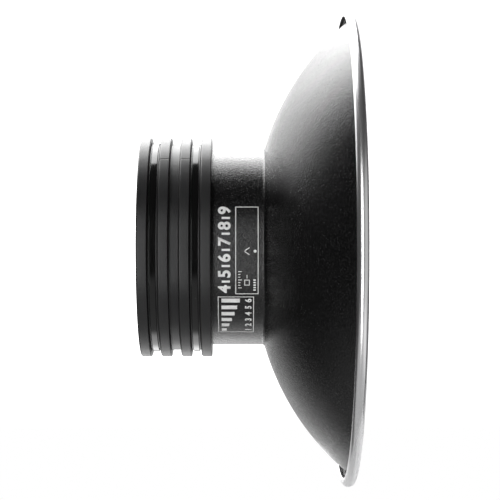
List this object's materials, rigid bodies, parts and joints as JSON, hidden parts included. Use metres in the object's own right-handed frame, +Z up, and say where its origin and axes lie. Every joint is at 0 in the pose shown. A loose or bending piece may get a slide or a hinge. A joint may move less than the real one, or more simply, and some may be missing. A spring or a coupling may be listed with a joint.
{
  "type": "dish reflector for a studio flash head",
  "caption": "Black spun-metal dish reflector with a rolled silver rim, a short neck and a ribbed rubber collar that an over-centre lever clamps onto a flash head.",
  "frame": {"origin": "centre of the collar's rear opening, in the plane of the collar's rear face, on the optical axis", "axes": "+X is the optical axis towards the mouth of the dish, +Z is up as the reflector is held on a level flash head, and the clamp lever is on the +Y side"},
  "size_m": [0.1234, 0.28, 0.28],
  "materials": {
    "coated_aluminium": "fine-textured satin black powder coat outside, bare spun aluminium inside and round the rolled rim",
    "collar_rubber": "matte black moulded rubber",
    "strap_steel": "gloss black lacquered spring steel band",
    "bracket_steel": "pressed stainless steel with a satin face",
    "pin_steel": "bright turned stainless steel",
    "lever_steel": "satin black coated steel",
    "grip_plastic": "fine-grained moulded plastic"
  },
  "bodies": {
    "reflector_body": {"reflector_shell": "coated_aluminium", "rubber_collar": "collar_rubber", "rear_strap": "strap_steel", "front_strap": "strap_steel", "hinge_bracket": "bracket_steel", "keeper_bracket": "bracket_steel", "hinge_rivet_rear_1": "pin_steel", "hinge_rivet_rear_2": "pin_steel", "hinge_rivet_front_1": "pin_steel", "hinge_rivet_front_2": "pin_steel", "keeper_rivet_rear_1": "pin_steel", "keeper_rivet_rear_2": "pin_steel", "keeper_rivet_front_1": "pin_steel", "keeper_rivet_front_2": "pin_steel", "hinge_pin": "pin_steel"},
    "lever": {"clamp_lever": "lever_steel", "lever_grip": "grip_plastic", "link_pin": "pin_steel"},
    "draw_links": {"draw_link_rear": "bracket_steel", "draw_link_front": "bracket_steel", "draw_bar": "pin_steel"}
  },
  "joints": [
    {"name": "lever_hinge", "type": "hinge", "parent": "reflector_body", "child": "lever", "pos_m": [0.02065, 0.05754, 0.03881], "axis": [1, 0, 0], "range_deg": [0, 140]},
    {"name": "link_pivot", "type": "hinge", "parent": "lever", "child": "draw_links", "pos_m": [0.02065, 0.06062, 0.03317], "axis": [1, 0, 0], "range_deg": [-140, 0]}
  ],
  "couplings": [
    {"joint": "link_pivot", "follows": "lever_hinge", "ratio": -1}
  ]
}
